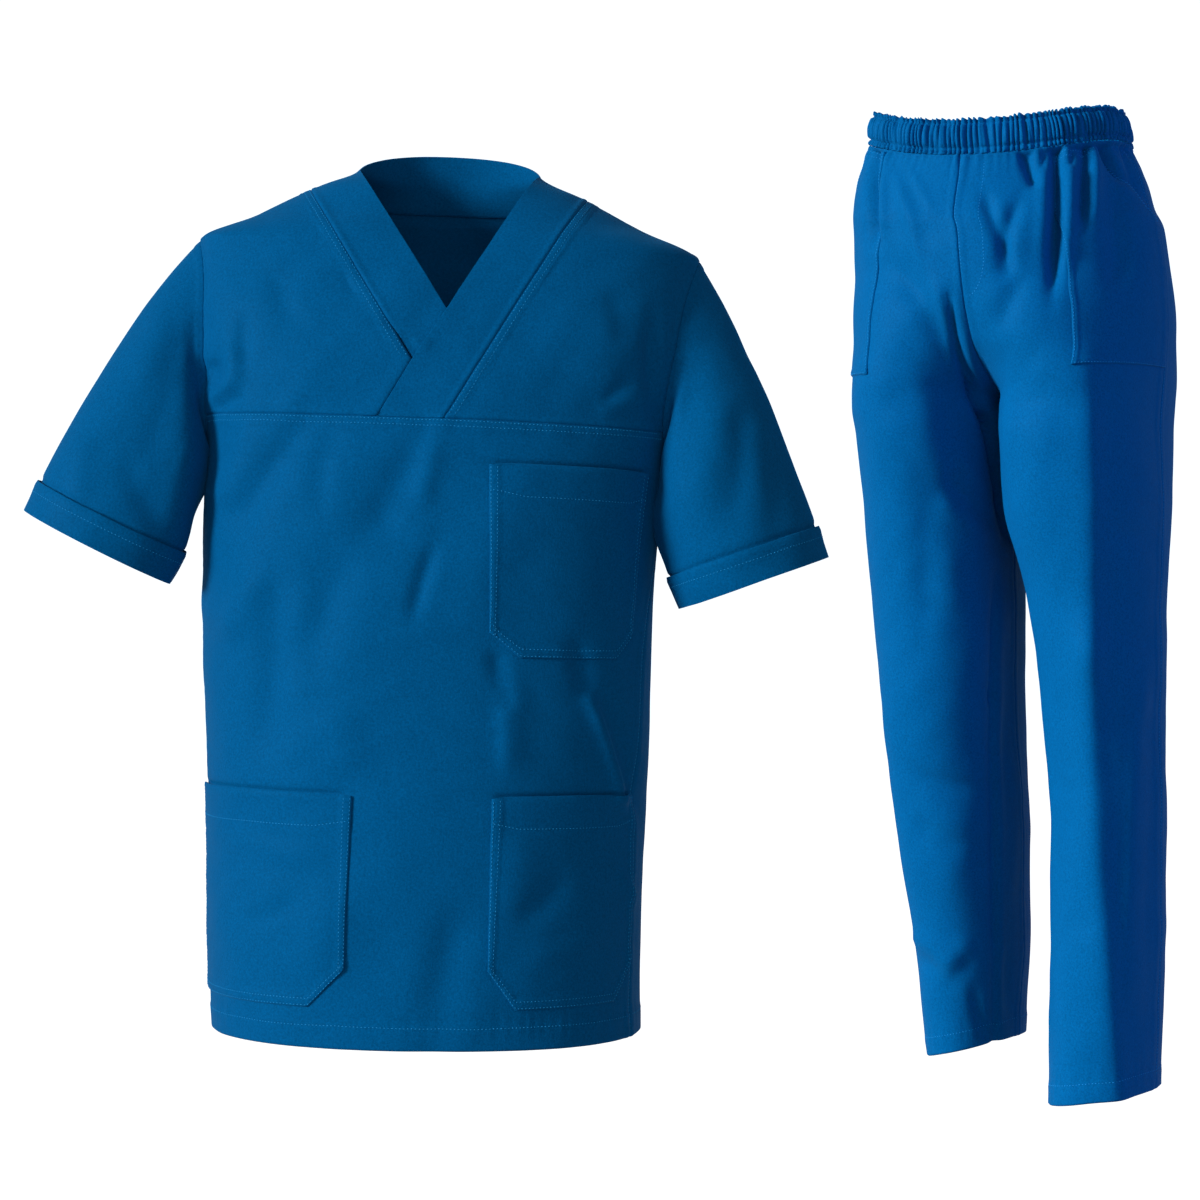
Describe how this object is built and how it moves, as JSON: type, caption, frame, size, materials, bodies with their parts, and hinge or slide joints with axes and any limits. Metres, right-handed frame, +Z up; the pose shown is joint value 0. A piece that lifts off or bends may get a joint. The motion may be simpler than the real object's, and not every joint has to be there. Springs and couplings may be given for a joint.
{
  "type": "medical scrubs set",
  "caption": "Set of medical scrubs: a short-sleeved tunic with a crossed V neck and patch pockets, and straight trousers gathered on an elastic waistband, each filled out as worn.",
  "frame": {"origin": "midway between the tunic's two neck points, at shoulder height, where a wearer or hanger holds it up", "axes": "+X to the wearer's left along the row of the two garments, -Y out of the fronts, +Z up"},
  "size_m": [1.1175, 0.6152, 1.0175],
  "materials": {
    "tunic_cloth": "deep blue poly-cotton twill, soft sheen",
    "trouser_cloth": "mid blue poly-cotton twill, soft sheen"
  },
  "bodies": {
    "root": {"tunic_front": "tunic_cloth", "tunic_yoke_right": "tunic_cloth", "tunic_yoke_left": "tunic_cloth", "tunic_back": "tunic_cloth", "band_right": "tunic_cloth", "band_left": "tunic_cloth", "band_back": "tunic_cloth", "sleeve_right": "tunic_cloth", "sleeve_left": "tunic_cloth", "cuff_right": "tunic_cloth", "cuff_left": "tunic_cloth", "chest_pocket": "tunic_cloth", "hip_pocket_right": "tunic_cloth", "hip_pocket_left": "tunic_cloth", "trousers_front_right": "trouser_cloth", "trousers_front_left": "trouser_cloth", "trousers_back_right": "trouser_cloth", "trousers_back_left": "trouser_cloth", "waistband": "trouser_cloth", "trouser_pocket_right": "trouser_cloth", "trouser_pocket_left": "trouser_cloth"}
  },
  "joints": []
}
